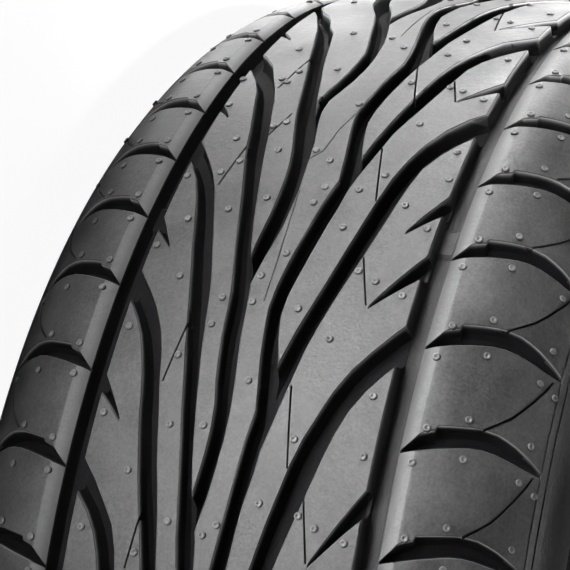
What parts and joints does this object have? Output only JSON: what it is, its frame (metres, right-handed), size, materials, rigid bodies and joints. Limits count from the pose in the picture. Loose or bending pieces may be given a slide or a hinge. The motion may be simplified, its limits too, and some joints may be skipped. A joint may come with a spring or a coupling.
{
  "type": "car tyre",
  "caption": "Car tyre with a directional V tread, chamfered shoulder blocks, plain sidewalls and bead seats for the rim, lying on its side.",
  "frame": {"origin": "centre of the tyre, on the wheel axis at the middle of the tread", "axes": "+Z along the wheel axis, up as the tyre lies on its side; +X and +Y are radial"},
  "size_m": [0.653, 0.6529, 0.248],
  "materials": {
    "tread_rubber": "new moulded black rubber, fine grain, faint mould-release smears"
  },
  "bodies": {
    "root": {"tyre": "tread_rubber"}
  },
  "joints": []
}
